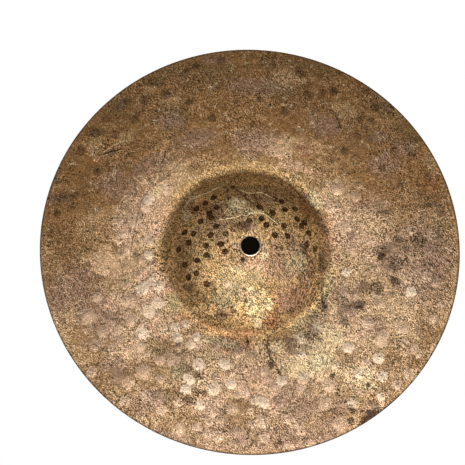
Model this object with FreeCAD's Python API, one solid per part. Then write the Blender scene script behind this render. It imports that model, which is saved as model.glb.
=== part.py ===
import FreeCAD, Part
import math
import os

# A splash cymbal: one round sheet of bronze with a pressed bell and a hammered bow.
# It stands on its rim with the bell up. The origin is on the bore's axis, in the plane of the rim.
# All lengths are in millimetres.

# Outline and bore
cymbal_diameter = 254.0
bore_diameter = 12.2

# The bell's foot, where it rises out of the bow, as measured on the underside
bell_diameter = 103.0

# Heights of the underside: the bell's foot above the rim, and the bore above the foot
bow_rise = 9.9
bell_rise = 22.3

# How far the bow stands above a straight line from the rim to the bell's foot
bow_crown = 2.0

# The sheet is thickest at the bell and thins out to the rim
bell_wall = 0.9
rim_wall = 0.6

# The underside's bend round the bell's foot
lip_radius = 4.5

# The broken edges of the rim
rim_edge_radius = 0.2

# A round edge is known by its radius and height, to within this length
find_tolerance = 0.01

rim_radius = cymbal_diameter / 2
bore_radius = bore_diameter / 2
bell_radius = bell_diameter / 2
foot_top_height = bow_rise + bell_wall

# The bell is an arc in section. It is level at the bore, so its centre lies straight below the bore's edge.
bell_run = bell_radius - bore_radius
bell_arc_radius = (bell_run ** 2 + bell_rise ** 2) / (2 * bell_rise)
bell_centre_height = bow_rise + bell_rise - bell_arc_radius


def section_point(radius, height):
    """A point of the cross-section, in the plane that is turned about the bore's axis."""
    return FreeCAD.Vector(radius, 0, height)


def bell_point(arc_radius, turn):
    """The point of a bell arc that lies this far round from the bore, in radians."""
    radius = bore_radius + arc_radius * math.sin(turn)
    height = bell_centre_height + arc_radius * math.cos(turn)
    return section_point(radius, height)


def bell_turn(arc_radius, height):
    """How far round a bell arc comes down to this height, in radians."""
    return math.acos((height - bell_centre_height) / arc_radius)


def bell_arc(arc_radius, foot_height):
    """One face of the bell in section, from the bore down to the foot."""
    turn = bell_turn(arc_radius, foot_height)
    bore_end = bell_point(arc_radius, 0)
    midway = bell_point(arc_radius, turn / 2)
    foot_end = bell_point(arc_radius, turn)
    return Part.Arc(bore_end, midway, foot_end).toShape()


def bow_arc(foot_end, rim_height):
    """One face of the bow in section, from the bell's foot out to the rim."""
    rim_end = section_point(rim_radius, rim_height)
    midway = (foot_end + rim_end) / 2 + section_point(0, bow_crown)
    return Part.Arc(foot_end, midway, rim_end).toShape()


def round_edges(solid, radius, height):
    """The solid's round edges that have this radius and stand at this height."""
    found = []
    for edge in solid.Edges:
        curve = edge.Curve
        if not isinstance(curve, Part.Circle):
            continue
        same_radius = abs(curve.Radius - radius) < find_tolerance
        same_height = abs(curve.Center.z - height) < find_tolerance
        if same_radius and same_height:
            found.append(edge)
    return found


def cymbal_sheet():
    """The whole cymbal: its section turned about the bore, then the lip and the rim rounded."""
    top_arc_radius = bell_arc_radius + bell_wall
    foot_below = bell_point(bell_arc_radius, bell_turn(bell_arc_radius, bow_rise))
    foot_above = bell_point(top_arc_radius, bell_turn(top_arc_radius, foot_top_height))
    bore_wall = Part.makeLine(bell_point(bell_arc_radius, 0), bell_point(top_arc_radius, 0))
    rim_face = Part.makeLine(section_point(rim_radius, 0), section_point(rim_radius, rim_wall))
    section = Part.Wire(
        [
            bell_arc(bell_arc_radius, bow_rise),
            bow_arc(foot_below, 0),
            rim_face,
            bow_arc(foot_above, rim_wall),
            bell_arc(top_arc_radius, foot_top_height),
            bore_wall,
        ]
    )
    sheet = Part.Face(section).revolve(FreeCAD.Vector(0, 0, 0), FreeCAD.Vector(0, 0, 1), 360)

    # The wall keeps its thickness round the lip, so the lip is that much tighter on top
    lip_below = round_edges(sheet, foot_below.x, bow_rise)
    sheet = sheet.makeFillet(lip_radius, lip_below)
    lip_above = round_edges(sheet, foot_above.x, foot_top_height)
    sheet = sheet.makeFillet(lip_radius - bell_wall, lip_above)

    rim_edges = round_edges(sheet, rim_radius, 0) + round_edges(sheet, rim_radius, rim_wall)
    sheet = sheet.makeFillet(rim_edge_radius, rim_edges)
    return sheet.Solids[0]


os.makedirs("parts", exist_ok=True)
cymbal = cymbal_sheet()
cymbal.exportStep("parts/cymbal.step")
box = cymbal.optimalBoundingBox()
print("valid", cymbal.isValid(), "volume in cubic millimetres", round(cymbal.Volume, 1))
print("size", round(box.XLength, 2), round(box.YLength, 2), round(box.ZLength, 2))
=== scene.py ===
import math

import bpy
import numpy as np
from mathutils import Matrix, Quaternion, Vector


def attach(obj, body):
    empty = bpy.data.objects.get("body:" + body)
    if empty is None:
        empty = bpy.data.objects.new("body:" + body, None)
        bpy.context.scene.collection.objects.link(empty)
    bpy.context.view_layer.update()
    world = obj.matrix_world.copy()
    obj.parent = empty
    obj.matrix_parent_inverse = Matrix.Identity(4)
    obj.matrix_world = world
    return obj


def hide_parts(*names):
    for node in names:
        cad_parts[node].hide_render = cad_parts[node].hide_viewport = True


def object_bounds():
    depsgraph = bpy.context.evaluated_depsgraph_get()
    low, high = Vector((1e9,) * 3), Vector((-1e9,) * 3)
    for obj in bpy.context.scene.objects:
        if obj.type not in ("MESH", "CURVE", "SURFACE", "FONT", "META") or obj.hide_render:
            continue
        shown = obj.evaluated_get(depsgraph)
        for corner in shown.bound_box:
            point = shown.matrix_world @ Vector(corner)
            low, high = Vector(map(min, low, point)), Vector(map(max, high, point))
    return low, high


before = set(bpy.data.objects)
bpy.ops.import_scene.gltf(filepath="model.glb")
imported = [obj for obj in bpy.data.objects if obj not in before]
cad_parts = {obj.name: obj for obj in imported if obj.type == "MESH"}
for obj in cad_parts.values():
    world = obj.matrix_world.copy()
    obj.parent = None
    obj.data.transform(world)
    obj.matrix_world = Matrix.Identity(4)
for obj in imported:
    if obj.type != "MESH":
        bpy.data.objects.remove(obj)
cad_low, cad_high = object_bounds()
mm = 0.001

# The camera
# The photograph looks at the cymbal's underside, nearly square on, from a little under a metre away.
# The rim that is nearer to the lens lies at the top of the picture. The object stands bell up here,
# so the camera looks up at it from below.

photo_size = 465
camera_distance = 900 * mm
camera_elevation = math.radians(-74.36)
camera_roll = math.radians(11.01)
focal_length_pixels = 1488.5
aim_point = Vector((-11.77, -15.37, 0)) * mm
sensor_width = 36.0

camera_place = camera_distance * Vector((0, -math.cos(camera_elevation), math.sin(camera_elevation)))
line_of_sight = (aim_point - camera_place).normalized()
camera_turn = line_of_sight.to_track_quat("-Z", "Y") @ Quaternion((0, 0, 1), camera_roll)

camera_data = bpy.data.cameras.new("camera")
camera_data.sensor_width = sensor_width
camera_data.lens = focal_length_pixels * sensor_width / photo_size
camera = bpy.data.objects.new("camera", camera_data)
camera.location = camera_place
camera.rotation_mode = "QUATERNION"
camera.rotation_quaternion = camera_turn
bpy.context.scene.collection.objects.link(camera)
bpy.context.scene.camera = camera


def place_of_pixel(pixel_x, pixel_y, height):
    """Where the photograph's pixel lies on the level plane at this height."""
    half = photo_size / 2
    ray = Vector((pixel_x - half, half - pixel_y, -focal_length_pixels))
    ray.rotate(camera_turn)
    return camera_place + (height - camera_place.z) / ray.z * ray


def pixels_of_places(places):
    """The photograph's pixels that show these places, one row for each place."""
    turn_back = np.array(camera_turn.inverted().to_matrix())
    seen = (places - np.array(camera_place)) @ turn_back.T
    shift = seen[:, :2] / -seen[:, 2:] * focal_length_pixels
    return photo_size / 2 + shift * (1, -1)


# The bronze sheet
# One disc of cast bronze. Its bell is pressed in a die, and its bow is raised by hand hammering from
# both faces. Its section is two arcs that meet in a soft lip round the bell's foot. The wall thins
# towards a rounded rim, and punching the bore has left a slight burr round it on the underside.

rim_radius = cad_high.x
bore_radius = 6.1 * mm
bell_radius = 51.5 * mm
bell_wall = 0.9 * mm
rim_wall = 0.6 * mm
rim_edge = 0.25 * mm
bow_rise = 9.9 * mm
bow_crown = 2.0 * mm
bore_height = cad_high.z - bell_wall
bell_rise = bore_height - bow_rise
lip_softness = 4.4 * mm
bell_shift = -1.6 * mm
burr_width = 1.3 * mm
burr_height = 0.22 * mm

# How finely the sheet is cut up: spokes round it, and rings across burr, bell, bow and rounded rim
spokes = 436
burr_rings = 5
bell_rings = 46
bow_rings = 55
rim_rings = 4
rings = burr_rings + bell_rings + bow_rings + rim_rings


def circle_through(first, second, third):
    """Centre and radius of the circle through three points of the section, each (radius, height)."""
    (ax, ay), (bx, by), (cx, cy) = first, second, third
    double_area = 2 * (ax * (by - cy) + bx * (cy - ay) + cx * (ay - by))
    a_square, b_square, c_square = ax ** 2 + ay ** 2, bx ** 2 + by ** 2, cx ** 2 + cy ** 2
    centre_x = (a_square * (by - cy) + b_square * (cy - ay) + c_square * (ay - by)) / double_area
    centre_y = (a_square * (cx - bx) + b_square * (ax - cx) + c_square * (bx - ax)) / double_area
    return centre_x, centre_y, math.hypot(ax - centre_x, ay - centre_y)


bow_centre_radius, bow_centre_height, bow_arc_radius = circle_through(
    (bell_radius, bow_rise),
    ((bell_radius + rim_radius) / 2, bow_rise / 2 + bow_crown),
    (rim_radius, 0),
)
bell_run = bell_radius - bore_radius
bell_arc_radius = (bell_run ** 2 + bell_rise ** 2) / (2 * bell_rise)
bell_centre_height = bore_height - bell_arc_radius


def place_on_sheet(pixel_x, pixel_y):
    """The point of the underside that the photograph shows at this pixel."""
    height = bow_rise
    for _ in range(16):
        place = place_of_pixel(pixel_x, pixel_y, height)
        reach = math.hypot(place.x, place.y)
        bell_reach = min(math.hypot(place.x - bell_shift, place.y) - bore_radius, bell_arc_radius)
        bell = bell_centre_height + math.sqrt(bell_arc_radius ** 2 - bell_reach ** 2)
        bow = bow_centre_height + math.sqrt(bow_arc_radius ** 2 - (reach - bow_centre_radius) ** 2)
        meeting = max(lip_softness - abs(bell - bow), 0) ** 3 / (6 * lip_softness ** 2)
        height = (height + max(bell, bow) + meeting) / 2
    return place


# The hammer marks that stand out, each with its centre in the photograph and its radius, in pixels:
# those with a bright or a pale face, mostly lower down, partly a painted sheen where the lamp falls on
# them, with a thin violet film, and dark ones, partly patina in the hollow and partly painted shade where
# the upper bow turns away from the lamp
hammer_marks = {
    "bright_marks": (
        (177.5, 337.5, 5.5), (143, 333, 7), (198.5, 364.5, 7), (225, 364, 6), (188.5, 380, 6.5),
        (186, 389, 5.5), (231, 384, 6), (214, 389, 7), (200.5, 405, 6), (264, 403, 6.5), (158, 303, 6),
        (149, 312, 7), (158.5, 286, 6.5), (186, 324, 5), (348, 348, 6), (379, 358.5, 6), (228, 285, 4),
        (143, 289, 7), (149, 255, 5.5), (317, 328, 6), (300, 339, 5), (196, 337, 5), (149, 200, 6),
        (153, 278, 5), (353, 403, 6), (359, 373, 5.5), (381, 397, 5), (382, 377, 6), (175, 327, 5),
        (146, 285, 5), (256, 400, 5.5), (302, 354, 4), (176, 336, 5), (302, 376, 4), (191, 345, 5.5),
        (282, 381, 5.5), (347, 272, 5), (411, 292, 5.5),
    ),
    "pale_marks": (
        (163, 327, 5), (302, 379, 7), (325, 404, 7), (397, 385, 6), (368, 323.5, 6.5), (381.5, 341, 7),
        (245, 393, 7), (233, 409, 6.5), (261, 421, 7), (160.5, 360.5, 5.5), (211.5, 413, 7),
        (161, 379, 5.5), (143.5, 372, 8), (124.5, 400, 6), (179.5, 430, 6.5), (196.5, 427, 5),
        (157, 315, 6), (218, 437, 6), (162, 410.5, 5.5), (103, 331.5, 7), (117, 331, 7), (87, 316, 8.5),
        (377, 295, 5), (379.5, 303, 6), (433.5, 319, 5), (402, 329.5, 7), (403.5, 342, 5.5),
        (415, 349, 5), (419, 354, 4.5), (408, 374, 6), (334, 365, 5), (329.5, 386.5, 7), (264, 371, 5),
        (288, 418, 7), (339.5, 424, 8), (373, 409.5, 6), (444, 345, 5), (133, 320, 6), (112, 349, 6),
        (343, 442, 5), (92, 372, 6), (128, 383, 7), (140, 347, 6), (310, 445, 6), (388, 420, 6),
        (420, 380, 6), (436, 350, 6), (360, 440, 6), (404, 402, 6), (135, 222, 7), (146, 206, 7),
        (150, 240, 7), (128, 250, 6), (344, 228, 7), (352, 250, 6), (144, 270, 5), (330, 208, 6),
        (167, 190, 6), (338, 190, 6), (208, 434, 5.5), (150, 287, 5), (275, 386, 5), (265, 438, 5.5),
        (118, 221, 5.5), (146, 396, 6), (277, 153, 4.5), (356, 197, 5), (215, 378, 4.5), (121, 254, 5),
        (427, 277, 5.5), (299, 424, 5.5), (301, 431, 5), (141, 416, 5), (125, 301, 5), (209, 421, 5),
        (95, 345, 6), (171, 363, 4), (412, 230, 5), (383, 335, 6), (441, 306, 4), (300, 389, 5),
        (376, 267, 5), (177, 359, 4), (178, 403, 5), (147, 304, 5), (360, 392, 5), (399, 258, 5),
        (124, 234, 5), (366, 362, 5), (345, 292, 4.5), (221, 423, 5), (142, 260, 4), (237, 395, 4.5),
        (97, 297, 5), (290, 446, 4.5), (137, 337, 4), (399, 323, 5), (252, 424, 4.5), (337, 206, 4.5),
        (300, 377, 4),
    ),
    "violet_marks": (
        (244, 441, 6), (236, 433, 5.5), (217, 347, 6.5), (251, 355, 5.5), (237, 353, 5), (356, 295, 5),
        (151, 264, 4), (127, 285, 4.5), (178, 346, 4), (269, 379, 4.5), (139, 275, 4), (141, 324, 4),
        (156.5, 399.5, 8.5), (346, 297, 7), (350, 311, 5.5), (390, 250, 6.5), (118, 377, 8),
        (300, 412, 7), (282, 404, 7), (110, 320, 7), (120, 340, 6), (430, 250, 7), (420, 270, 7),
        (436, 282, 6), (426, 232, 6), (330, 440, 6), (388, 268, 6), (360, 306, 6), (132, 300, 7),
        (186, 218, 4.5),
    ),
    "dark_marks": (
        (205.5, 300.5, 3.8), (233, 187.5, 3.6), (254, 196.5, 3.8), (265.5, 186.5, 3.6), (294, 292, 3.8),
        (291.5, 310.5, 3.8), (234, 310.5, 3.8), (223, 314, 3.8), (300, 277, 3.8), (229, 198.5, 3.4),
        (308.5, 275.5, 3.4), (198, 377, 5), (198, 393, 4.5), (188, 400, 4.5), (246, 227, 6),
        (240, 226, 5), (184.5, 74, 6.5), (166.5, 95, 5), (151.5, 83.5, 5.5), (160, 84.5, 4.5),
        (216, 89.5, 4.5), (237, 103.5, 4.5), (144.5, 102, 4.5), (116, 134.5, 5), (107, 119.5, 5.5),
        (96, 133.5, 5.5), (81, 151.5, 5), (58.5, 181, 4.5), (151.5, 148.5, 4), (129, 156, 4.5),
        (173, 138, 5), (212, 118.5, 5), (221.5, 61.5, 5), (273, 65.5, 5.5), (365, 92, 5.5),
        (333.5, 92, 5.5), (323.5, 93, 4.5), (374.5, 108.5, 5), (371, 121.5, 4.5), (359.5, 120, 4),
        (413.5, 142, 5), (395, 150.5, 5), (411, 156, 5), (381.5, 168, 5), (358, 135, 4.5),
        (339.5, 72, 4.5), (196, 67, 5), (300, 75, 5.5), (308, 95, 5), (260, 100, 4.5), (135, 120, 5),
        (190, 103, 5), (285, 112, 4.5), (345, 152, 5), (428, 178, 5), (76, 196, 5), (57, 214, 4.5),
        (97, 172, 5), (442, 214, 5), (401, 186, 4.5), (204, 394, 4), (189, 368, 4), (87, 251, 4),
        (406, 250, 4), (193, 441, 4), (228, 374, 4), (137, 256, 4.5), (294, 440, 4.5), (105, 304, 4),
        (137, 196, 4), (367, 392, 3.5), (178, 346, 3.5), (310, 340, 4),
    ),
}

# The punch marks inside the bell, each with its centre in the photograph, in pixels
punch_marks = (
    (205.5, 203.5), (196.5, 209), (213.5, 197.5), (216.5, 207.5), (209.5, 213.5), (211.5, 218),
    (200.5, 221.5), (216, 226.5), (184.5, 232.5), (193.5, 233.5), (210.5, 235), (225.5, 233.5),
    (189, 242.5), (206, 245.5), (221, 244), (178.5, 249.5), (206.5, 255), (225, 251.5), (197, 260.5),
    (185, 265), (196.5, 273.5), (188.5, 277.5), (206.5, 284), (259.5, 207), (275, 199), (281.5, 201.5),
    (272.5, 213), (285, 209.5), (295, 209), (261.5, 218.5), (249, 220.5), (266.5, 225), (297, 219),
    (284, 225.5), (301.5, 226), (304.5, 222.5), (275, 235), (287.5, 236), (309, 233), (306.5, 244.5),
    (315, 249),
)
punch_radius = 2.15 * mm

# A small nick in the bell, just beside the bore
nick = (242.3, 259.5)
nick_radius = 1.2 * mm
pixel_size = camera_distance / focal_length_pixels


def marks_object(name, places, sizes):
    """A loose set of points, one in the middle of each mark, each with the mark's radius."""
    mesh = bpy.data.meshes.new(name)
    mesh.from_pydata(places, [], [])
    mesh.attributes.new("size", "FLOAT", "POINT").data.foreach_set("value", sizes)
    made = bpy.data.objects.new(name, mesh)
    bpy.context.scene.collection.objects.link(made)
    return made


mark_objects = []
for marks_name, listed in hammer_marks.items():
    mark_centres = [place_on_sheet(x, y) for x, y, radius in listed]
    mark_radii = [radius * pixel_size for x, y, radius in listed]
    mark_objects.append(marks_object(marks_name, mark_centres, mark_radii))
punch_centres = [place_on_sheet(x, y) for x, y in (*punch_marks, nick)]
punch_radii = [punch_radius] * len(punch_marks) + [nick_radius]
mark_objects.append(marks_object("punch_marks", punch_centres, punch_radii))


def add_node(tree, kind, inputs=None, **settings):
    """Adds a node with its settings. A node given as an input is linked by its first output in use."""
    made = tree.nodes.new(kind)
    for name, value in settings.items():
        setattr(made, name, value)
    for key, value in (inputs or {}).items():
        if isinstance(key, int):
            socket = made.inputs[key]
        else:
            socket = next(one for one in made.inputs if one.enabled and one.name == key)
        if isinstance(value, bpy.types.Node):
            value = next(one for one in value.outputs if one.enabled)
        if isinstance(value, bpy.types.NodeSocket):
            tree.links.new(value, socket)
        else:
            socket.default_value = value
    return made


def arc_height(tree, radius, centre_radius, centre_height, arc_radius):
    """Nodes for the height of an arc of the section at a radius."""
    across = add_node(tree, "ShaderNodeMath", {0: radius, 1: centre_radius}, operation="SUBTRACT")
    square = add_node(tree, "ShaderNodeMath", {0: across, 1: across}, operation="MULTIPLY")
    whole = add_node(tree, "ShaderNodeMath", {0: arc_radius, 1: arc_radius}, operation="MULTIPLY")
    rest = add_node(tree, "ShaderNodeMath", {0: whole, 1: square}, operation="SUBTRACT")
    rise = add_node(tree, "ShaderNodeMath", {0: rest}, operation="SQRT")
    return add_node(tree, "ShaderNodeMath", {0: rise, 1: centre_height}, operation="ADD")


def flat_reach(tree):
    """Nodes for how far a point lies from the bore's axis."""
    place = add_node(tree, "GeometryNodeInputPosition")
    flat = add_node(tree, "ShaderNodeVectorMath", {0: place, 1: (1, 1, 0)}, operation="MULTIPLY")
    return add_node(tree, "ShaderNodeVectorMath", {0: flat}, operation="LENGTH").outputs["Value"]


def press_marks(tree, sheet, marks, depth, attribute):
    """Nodes that dent the sheet round each mark's centre.

    They keep by name how far each point lies from its nearest mark, as a share of that mark's radius,
    and that mark's own chance number, by which marks differ in strength.
    """
    here = add_node(tree, "GeometryNodeInputPosition")
    nearest = add_node(
        tree, "GeometryNodeSampleNearest", {"Geometry": marks, "Sample Position": here}, domain="POINT"
    )
    size = add_node(tree, "GeometryNodeInputNamedAttribute", {"Name": "size"}, data_type="FLOAT")
    of_nearest = []
    for value, data_type in ((here, "FLOAT_VECTOR"), (size, "FLOAT")):
        sampled = add_node(
            tree,
            "GeometryNodeSampleIndex",
            {"Geometry": marks, "Value": value, "Index": nearest},
            data_type=data_type,
            domain="POINT",
        )
        of_nearest.append(sampled)
    centre, own_size = of_nearest
    away = add_node(tree, "ShaderNodeVectorMath", {0: here, 1: centre}, operation="DISTANCE")
    share = add_node(tree, "ShaderNodeMath", {0: away.outputs["Value"], 1: own_size}, operation="DIVIDE")
    chance = add_node(
        tree, "FunctionNodeRandomValue", {2: 0.0, 3: 1.0, "ID": nearest, "Seed": 5}, data_type="FLOAT"
    )
    for name, value in ((attribute, share), (attribute + "_chance", chance)):
        sheet = add_node(
            tree,
            "GeometryNodeStoreNamedAttribute",
            {"Geometry": sheet, "Name": name, "Value": value},
            data_type="FLOAT",
            domain="POINT",
        )
    stored = add_node(tree, "GeometryNodeInputNamedAttribute", {"Name": attribute}, data_type="FLOAT")
    square = add_node(tree, "ShaderNodeMath", {0: stored, 1: stored}, operation="MULTIPLY")
    dent = add_node(tree, "ShaderNodeMath", {0: 1.0, 1: square}, operation="SUBTRACT", use_clamp=True)
    push = add_node(tree, "ShaderNodeMath", {0: dent, 1: depth}, operation="MULTIPLY")
    normal = add_node(tree, "GeometryNodeInputNormal")
    offset = add_node(tree, "ShaderNodeVectorMath", {0: normal, "Scale": push}, operation="SCALE")
    return add_node(tree, "GeometryNodeSetPosition", {"Geometry": sheet, "Offset": offset})


sheet_sizes = {
    "Rim radius": rim_radius,
    "Bore radius": bore_radius,
    "Bell radius": bell_radius,
    "Bell shift": bell_shift,
    "Bell arc radius": bell_arc_radius,
    "Bell centre height": bell_centre_height,
    "Bow arc radius": bow_arc_radius,
    "Bow centre radius": bow_centre_radius,
    "Bow centre height": bow_centre_height,
    "Lip softness": lip_softness,
    "Bell wall": bell_wall,
    "Rim wall": rim_wall,
    "Burr width": burr_width,
    "Burr height": burr_height,
    "Bell run": bell_run - burr_width,
    "Bow run": rim_radius - bell_radius - rim_edge,
    "Rim edge": rim_edge,
    "Mark start": bell_radius + 5 * mm,
    "Mark spacing": 8.5 * mm,
    "Mark radius": 3.3 * mm,
    "Mark depth": 0.12 * mm,
    "Deep mark depth": 0.2 * mm,
    "Punch depth": 0.09 * mm,
    "Unmarked rim": 1.0 * mm,
    "Fully marked from": 4.0 * mm,
    "Upright rim": 5.0 * mm,
    "Weld distance": 0.01 * mm,
}
tree = bpy.data.node_groups.new("hammered_sheet", "GeometryNodeTree")
tree.interface.new_socket("Geometry", in_out="OUTPUT", socket_type="NodeSocketGeometry")
size_identifiers = {}
for size_name in sheet_sizes:
    made_socket = tree.interface.new_socket(size_name, in_out="INPUT", socket_type="NodeSocketFloat")
    size_identifiers[size_name] = made_socket.identifier
given = tree.nodes.new("NodeGroupInput").outputs

# A flat grid becomes the underside: its width goes round the bore, and its height from bore to rim
grid = add_node(
    tree,
    "GeometryNodeMeshGrid",
    {"Size X": 1.0, "Size Y": 1.0, "Vertices X": spokes + 1, "Vertices Y": rings + 1},
)
grid_place = add_node(tree, "GeometryNodeInputPosition")
grid_axes = add_node(tree, "ShaderNodeSeparateXYZ", {0: grid_place})
angle = add_node(
    tree, "ShaderNodeMapRange", {0: grid_axes.outputs["X"], 1: -0.5, 2: 0.5, 3: 0.0, 4: -2 * math.pi}
)
radius = given["Bore radius"]
rings_before = 0
for ring_count, run_name in (
    (burr_rings, "Burr width"),
    (bell_rings, "Bell run"),
    (bow_rings, "Bow run"),
    (rim_rings, "Rim edge"),
):
    run_start = rings_before / rings - 0.5
    rings_before += ring_count
    run_end = rings_before / rings - 0.5
    run = add_node(
        tree,
        "ShaderNodeMapRange",
        {0: grid_axes.outputs["Y"], 1: run_start, 2: run_end, 3: 0.0, 4: given[run_name]},
    )
    radius = add_node(tree, "ShaderNodeMath", {0: radius, 1: run}, operation="ADD")
cosine = add_node(tree, "ShaderNodeMath", {0: angle}, operation="COSINE")
sine = add_node(tree, "ShaderNodeMath", {0: angle}, operation="SINE")
across = add_node(tree, "ShaderNodeMath", {0: radius, 1: cosine}, operation="MULTIPLY")
along = add_node(tree, "ShaderNodeMath", {0: radius, 1: sine}, operation="MULTIPLY")
shifted = add_node(tree, "ShaderNodeMath", {0: across, 1: given["Bell shift"]}, operation="SUBTRACT")
from_bell_axis = add_node(tree, "ShaderNodeCombineXYZ", {"X": shifted, "Y": along})
bell_reach = add_node(tree, "ShaderNodeVectorMath", {0: from_bell_axis}, operation="LENGTH")
bell_height = arc_height(
    tree,
    bell_reach.outputs["Value"],
    given["Bore radius"],
    given["Bell centre height"],
    given["Bell arc radius"],
)
bow_height = arc_height(
    tree, radius, given["Bow centre radius"], given["Bow centre height"], given["Bow arc radius"]
)
height = add_node(
    tree,
    "ShaderNodeMath",
    {0: bell_height, 1: bow_height, 2: given["Lip softness"]},
    operation="SMOOTH_MAX",
)

# The burr is a low ridge that hangs down round the bore
half_burr = add_node(tree, "ShaderNodeMath", {0: given["Burr width"], 1: 0.5}, operation="MULTIPLY")
burr_crest = add_node(tree, "ShaderNodeMath", {0: given["Bore radius"], 1: half_burr}, operation="ADD")
from_crest = add_node(tree, "ShaderNodeMath", {0: radius, 1: burr_crest}, operation="SUBTRACT")
from_crest = add_node(tree, "ShaderNodeMath", {0: from_crest}, operation="ABSOLUTE")
burr = add_node(
    tree,
    "ShaderNodeMapRange",
    {0: from_crest, 1: 0.0, 2: half_burr, 3: given["Burr height"], 4: 0.0},
    interpolation_type="SMOOTHSTEP",
)
height = add_node(tree, "ShaderNodeMath", {0: height, 1: burr}, operation="SUBTRACT")
section = add_node(tree, "ShaderNodeCombineXYZ", {"X": across, "Y": along, "Z": height})
turned = add_node(tree, "GeometryNodeSetPosition", {"Geometry": grid, "Position": section})
sheet = add_node(
    tree, "GeometryNodeMergeByDistance", {"Geometry": turned, "Distance": given["Weld distance"]}
)

# Hammer marks: shallow ones scattered over the bow, then the deeper ones that the photograph shows.
# All fade out short of the rim.
reach = flat_reach(tree)
rim_distance = add_node(tree, "ShaderNodeMath", {0: given["Rim radius"], 1: reach}, operation="SUBTRACT")
rim_calm = add_node(
    tree,
    "ShaderNodeMapRange",
    {0: rim_distance, 1: given["Unmarked rim"], 2: given["Fully marked from"], 3: 0.0, 4: 1.0},
    interpolation_type="SMOOTHSTEP",
)
on_bow = add_node(
    tree,
    "FunctionNodeCompare",
    {0: reach, 1: given["Mark start"]},
    data_type="FLOAT",
    operation="GREATER_THAN",
)
scattered = add_node(
    tree,
    "GeometryNodeDistributePointsOnFaces",
    {
        "Mesh": sheet,
        "Selection": on_bow,
        "Distance Min": given["Mark spacing"],
        "Density Max": 40000.0,
        "Seed": 4,
    },
    distribute_method="POISSON",
)
size_share = add_node(tree, "FunctionNodeRandomValue", {2: 0.7, 3: 1.15, "Seed": 8}, data_type="FLOAT")
scattered_size = add_node(
    tree, "ShaderNodeMath", {0: size_share, 1: given["Mark radius"]}, operation="MULTIPLY"
)
scattered = add_node(
    tree,
    "GeometryNodeStoreNamedAttribute",
    {"Geometry": scattered, "Name": "size", "Value": scattered_size},
    data_type="FLOAT",
    domain="POINT",
)
mark_sets = [(scattered, "Mark depth", "scattered_marks")]
for marks in mark_objects:
    marks_info = add_node(tree, "GeometryNodeObjectInfo", {"Object": marks})
    depth_name = "Punch depth" if marks.name == "punch_marks" else "Deep mark depth"
    mark_sets.append((marks_info.outputs["Geometry"], depth_name, marks.name))
for marks, depth_name, attribute in mark_sets:
    depth = add_node(tree, "ShaderNodeMath", {0: rim_calm, 1: given[depth_name]}, operation="MULTIPLY")
    sheet = press_marks(tree, sheet, marks, depth, attribute)

# The wall: the sheet is doubled, and the copy stands off by the wall's thickness. Near the rim it
# stands straight up, so that the rim stays round.
wall = add_node(
    tree,
    "ShaderNodeMapRange",
    {
        0: reach,
        1: given["Bell radius"],
        2: given["Rim radius"],
        3: given["Bell wall"],
        4: given["Rim wall"],
    },
)
sideways = add_node(
    tree, "ShaderNodeMapRange", {0: rim_distance, 1: 0.0, 2: given["Upright rim"], 3: 0.0, 4: 1.0}
)
lean = add_node(tree, "ShaderNodeCombineXYZ", {"X": sideways, "Y": sideways, "Z": 1.0})
sheet_normal = add_node(tree, "GeometryNodeInputNormal")
stand_off = add_node(tree, "ShaderNodeVectorMath", {0: sheet_normal, 1: lean}, operation="MULTIPLY")
stand_off = add_node(tree, "ShaderNodeVectorMath", {0: stand_off, "Scale": wall}, operation="SCALE")
sheet = add_node(
    tree,
    "GeometryNodeStoreNamedAttribute",
    {"Geometry": sheet, "Name": "stand_off", "Value": stand_off},
    data_type="FLOAT_VECTOR",
    domain="POINT",
)
doubled = add_node(
    tree,
    "GeometryNodeExtrudeMesh",
    {"Mesh": sheet, "Offset Scale": 0.0, "Individual": False},
    mode="FACES",
)
kept_off = add_node(
    tree, "GeometryNodeInputNamedAttribute", {"Name": "stand_off"}, data_type="FLOAT_VECTOR"
)
raised = add_node(
    tree,
    "GeometryNodeSetPosition",
    {"Geometry": doubled, "Selection": doubled.outputs["Top"], "Offset": kept_off},
)
top_side = add_node(
    tree,
    "GeometryNodeStoreNamedAttribute",
    {"Geometry": raised, "Selection": doubled.outputs["Top"], "Name": "top_side", "Value": 1.0},
    data_type="FLOAT",
    domain="POINT",
)
underside = add_node(tree, "GeometryNodeFlipFaces", {"Mesh": sheet})
both = tree.nodes.new("GeometryNodeJoinGeometry")
tree.links.new(top_side.outputs[0], both.inputs[0])
tree.links.new(underside.outputs[0], both.inputs[0])
closed = add_node(
    tree, "GeometryNodeMergeByDistance", {"Geometry": both, "Distance": given["Weld distance"]}
)

# The rounded rim: both faces curve towards each other over the last quarter of a millimetre
edge_start = add_node(
    tree, "ShaderNodeMath", {0: given["Rim radius"], 1: given["Rim edge"]}, operation="SUBTRACT"
)
past_edge = add_node(tree, "ShaderNodeMath", {0: reach, 1: edge_start}, operation="SUBTRACT")
past_edge = add_node(tree, "ShaderNodeMath", {0: past_edge, 1: 0.0}, operation="MAXIMUM")
past_square = add_node(tree, "ShaderNodeMath", {0: past_edge, 1: past_edge}, operation="MULTIPLY")
edge_square = add_node(
    tree, "ShaderNodeMath", {0: given["Rim edge"], 1: given["Rim edge"]}, operation="MULTIPLY"
)
edge_rest = add_node(tree, "ShaderNodeMath", {0: edge_square, 1: past_square}, operation="SUBTRACT")
edge_rest = add_node(tree, "ShaderNodeMath", {0: edge_rest, 1: 0.0}, operation="MAXIMUM")
edge_rest = add_node(tree, "ShaderNodeMath", {0: edge_rest}, operation="SQRT")
edge_drop = add_node(tree, "ShaderNodeMath", {0: given["Rim edge"], 1: edge_rest}, operation="SUBTRACT")
which_side = add_node(tree, "GeometryNodeInputNamedAttribute", {"Name": "top_side"}, data_type="FLOAT")
which_side = add_node(tree, "ShaderNodeMapRange", {0: which_side, 1: 0.0, 2: 1.0, 3: 1.0, 4: -1.0})
edge_move = add_node(tree, "ShaderNodeMath", {0: edge_drop, 1: which_side}, operation="MULTIPLY")
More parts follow.
